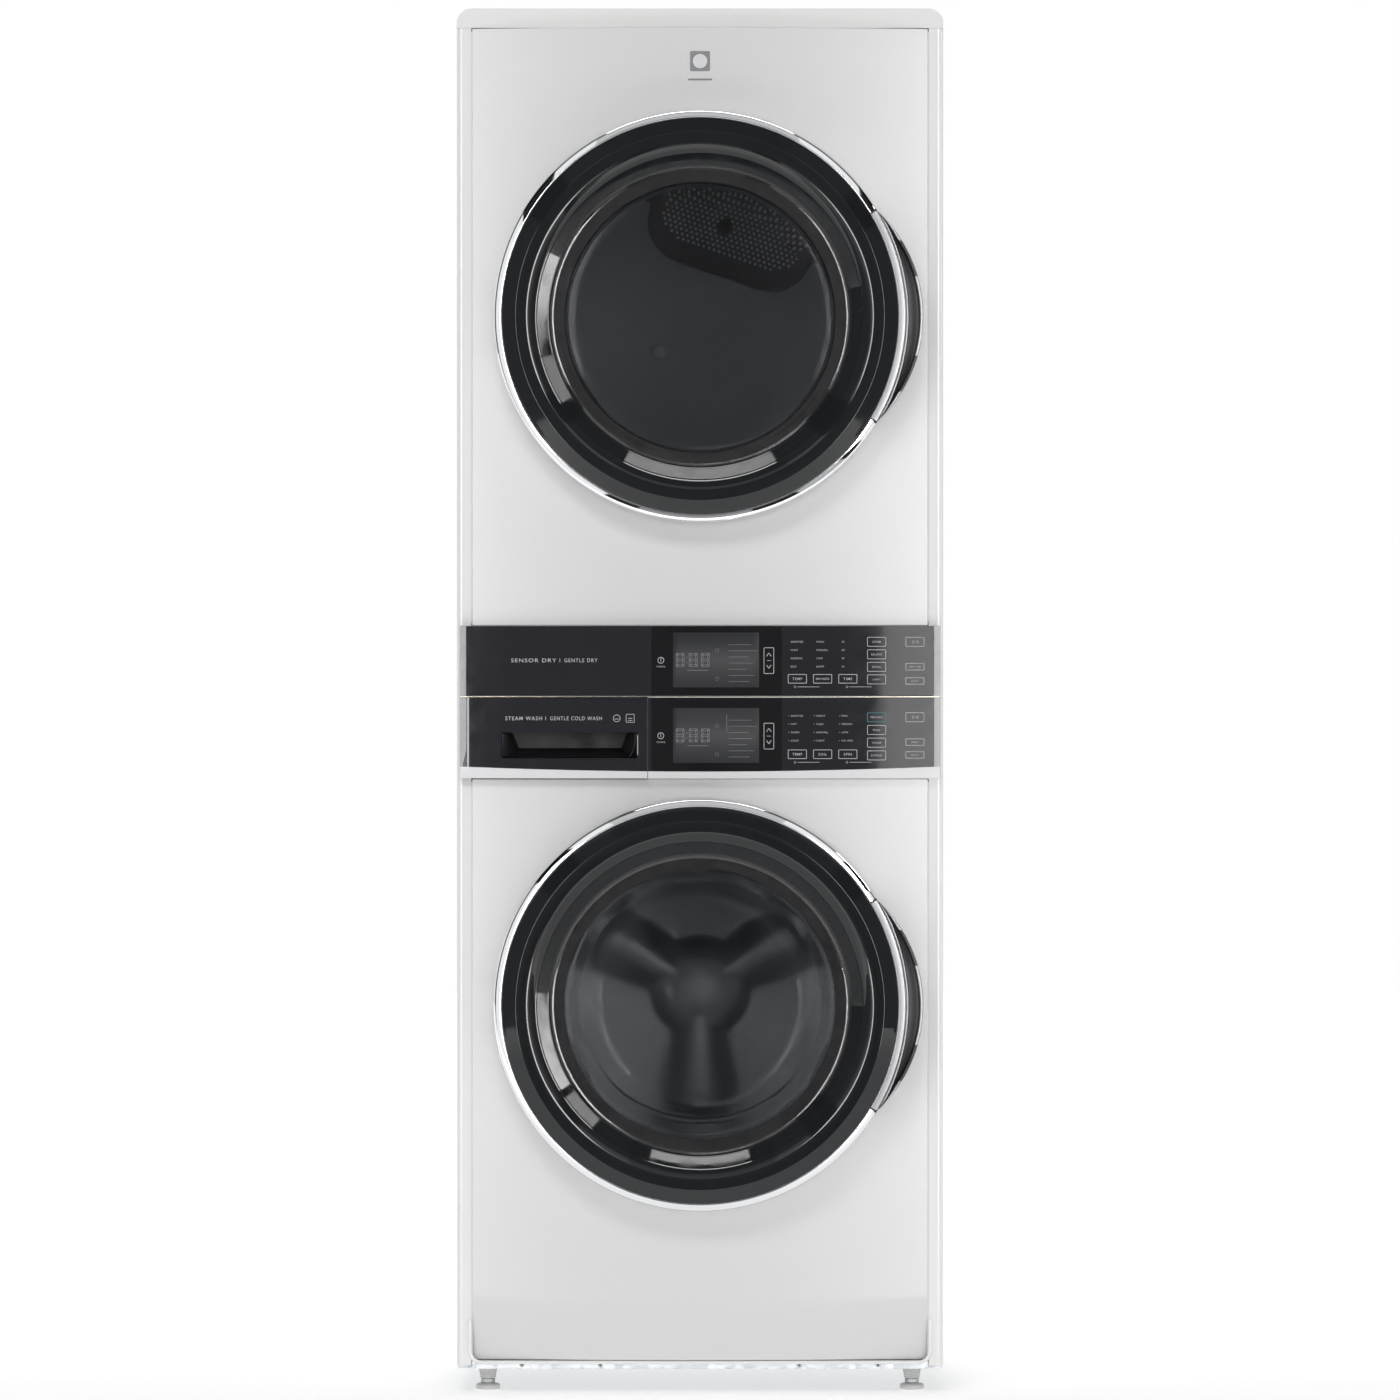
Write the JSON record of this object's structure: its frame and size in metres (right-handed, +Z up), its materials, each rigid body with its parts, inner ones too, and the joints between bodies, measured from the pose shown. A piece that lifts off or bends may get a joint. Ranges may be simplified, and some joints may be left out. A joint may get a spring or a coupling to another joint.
{
  "type": "washer dryer stack",
  "caption": "Full-size laundry tower with a front-loading washer below, a tumble dryer above and one curved control console between them.",
  "frame": {"origin": "on the floor under the middle of the whole footprint", "axes": "+X right of somebody facing the doors, +Y to the back, +Z up"},
  "size_m": [0.686, 0.81, 1.95],
  "materials": {
    "white_enamel": "satin enamel",
    "galvanised": "galvanised sheet",
    "steel": "plain",
    "stainless": "rolled stainless",
    "chrome": "polished",
    "silver_plastic": "metallic satin",
    "dark_plastic": "moulded",
    "grey_plastic": "moulded",
    "white_plastic": "moulded",
    "black_glass": "back-painted",
    "smoked_glass": "smoked acrylic",
    "clear_glass": "pressed",
    "rubber": "moulded",
    "black_rubber": "moulded",
    "cast_aluminium": "die cast",
    "concrete": "cast",
    "tub_plastic": "moulded"
  },
  "bodies": {
    "cabinet": {"left_side_panel": "white_enamel", "right_side_panel": "white_enamel", "top_panel": "white_enamel", "rear_panel": "galvanised", "base_frame": "white_enamel", "mid_shelf": "galvanised", "dryer_front_panel": "white_enamel", "washer_front_panel": "white_enamel", "cabinet_screws": "steel", "console_carrier": "grey_plastic", "dryer_control_glass": "black_glass", "washer_control_glass": "black_glass", "dispenser_housing": "tub_plastic", "water_inlet_valves": "white_plastic", "drain_pump": "dark_plastic", "tub_suspension": "steel", "outer_tub_front": "tub_plastic", "outer_tub_rear": "tub_plastic", "counterweights": "concrete", "washer_motor": "steel", "washer_belt": "black_rubber", "door_bellows": "rubber", "door_catches": "dark_plastic", "hinge_brackets": "steel", "dryer_front_bulkhead": "white_enamel", "dryer_rear_bulkhead": "galvanised", "dryer_belt": "black_rubber", "dryer_motor": "steel", "blower_housing": "grey_plastic", "exhaust_duct": "galvanised", "heater_box": "galvanised"},
    "washer_door": {"washer_door_frame": "dark_plastic", "washer_door_ring": "chrome", "washer_door_lens": "smoked_glass", "washer_door_glass": "clear_glass", "washer_door_grip": "silver_plastic", "washer_door_hinge": "steel"},
    "dryer_door": {"dryer_door_frame": "dark_plastic", "dryer_door_ring": "chrome", "dryer_door_lens": "smoked_glass", "dryer_door_glass": "clear_glass", "dryer_door_grip": "silver_plastic", "dryer_door_hinge": "steel"},
    "detergent_drawer": {"drawer_fascia": "dark_plastic", "drawer_tray": "white_plastic"},
    "washer_drum": {"washer_drum": "stainless", "washer_drum_baffles": "grey_plastic", "washer_drum_spider": "cast_aluminium", "washer_drum_pulley": "cast_aluminium"},
    "washer_motor_rotor": {"washer_motor_pulley": "steel"},
    "dryer_drum": {"dryer_drum": "stainless", "dryer_drum_baffles": "grey_plastic"},
    "dryer_motor_rotor": {"dryer_motor_shaft": "steel"},
    "left_roller": {"roller_left": "black_rubber"},
    "right_roller": {"roller_right": "black_rubber"},
    "lint_filter": {"lint_filter": "grey_plastic"},
    "foot_front_left": {"foot_front_left": "black_rubber"},
    "foot_front_right": {"foot_front_right": "black_rubber"},
    "foot_rear_left": {"foot_rear_left": "black_rubber"},
    "foot_rear_right": {"foot_rear_right": "black_rubber"}
  },
  "joints": [
    {"name": "dryer_door_hinge", "type": "hinge", "parent": "cabinet", "child": "dryer_door", "pos_m": [-0.274, -0.376, 1.513], "axis": [0, 0, -1], "range_deg": [0, 120]},
    {"name": "washer_door_hinge", "type": "hinge", "parent": "cabinet", "child": "washer_door", "pos_m": [-0.274, -0.376, 0.548], "axis": [0, 0, -1], "range_deg": [0, 120]},
    {"name": "drawer_slide", "type": "slide", "parent": "cabinet", "child": "detergent_drawer", "axis": [0, -1, 0], "range_m": [0, 0.2]},
    {"name": "lint_filter_slide", "type": "slide", "parent": "cabinet", "child": "lint_filter", "axis": [0, 0, 1], "range_m": [0, 0.12]},
    {"name": "washer_drum_spin", "type": "hinge", "parent": "cabinet", "child": "washer_drum", "pos_m": [0, 0, 0.548], "axis": [0, 1, 0], "continuous": true},
    {"name": "washer_motor_spin", "type": "hinge", "parent": "cabinet", "child": "washer_motor_rotor", "pos_m": [0.11, 0.296, 0.172], "axis": [0, 1, 0], "continuous": true},
    {"name": "dryer_drum_spin", "type": "hinge", "parent": "cabinet", "child": "dryer_drum", "pos_m": [0, 0, 1.513], "axis": [0, 1, 0], "continuous": true},
    {"name": "dryer_motor_spin", "type": "hinge", "parent": "cabinet", "child": "dryer_motor_rotor", "pos_m": [-0.225, -0.1, 1.175], "axis": [0, 1, 0], "continuous": true},
    {"name": "left_roller_spin", "type": "hinge", "parent": "cabinet", "child": "left_roller", "pos_m": [-0.21628, 0.205, 1.23617], "axis": [0, 1, 0], "continuous": true},
    {"name": "right_roller_spin", "type": "hinge", "parent": "cabinet", "child": "right_roller", "pos_m": [0.21628, 0.205, 1.23617], "axis": [0, 1, 0], "continuous": true},
    {"name": "front_left_foot_screw", "type": "slide", "parent": "cabinet", "child": "foot_front_left", "axis": [0, 0, -1], "range_m": [0, 0.012]},
    {"name": "front_right_foot_screw", "type": "slide", "parent": "cabinet", "child": "foot_front_right", "axis": [0, 0, -1], "range_m": [0, 0.012]},
    {"name": "rear_left_foot_screw", "type": "slide", "parent": "cabinet", "child": "foot_rear_left", "axis": [0, 0, -1], "range_m": [0, 0.012]},
    {"name": "rear_right_foot_screw", "type": "slide", "parent": "cabinet", "child": "foot_rear_right", "axis": [0, 0, -1], "range_m": [0, 0.012]}
  ],
  "couplings": [
    {"joint": "washer_motor_spin", "follows": "washer_drum_spin", "ratio": 12.22},
    {"joint": "dryer_motor_spin", "follows": "dryer_drum_spin", "ratio": 22.049},
    {"joint": "left_roller_spin", "follows": "dryer_drum_spin", "ratio": -8.75},
    {"joint": "right_roller_spin", "follows": "dryer_drum_spin", "ratio": -8.75}
  ]
}
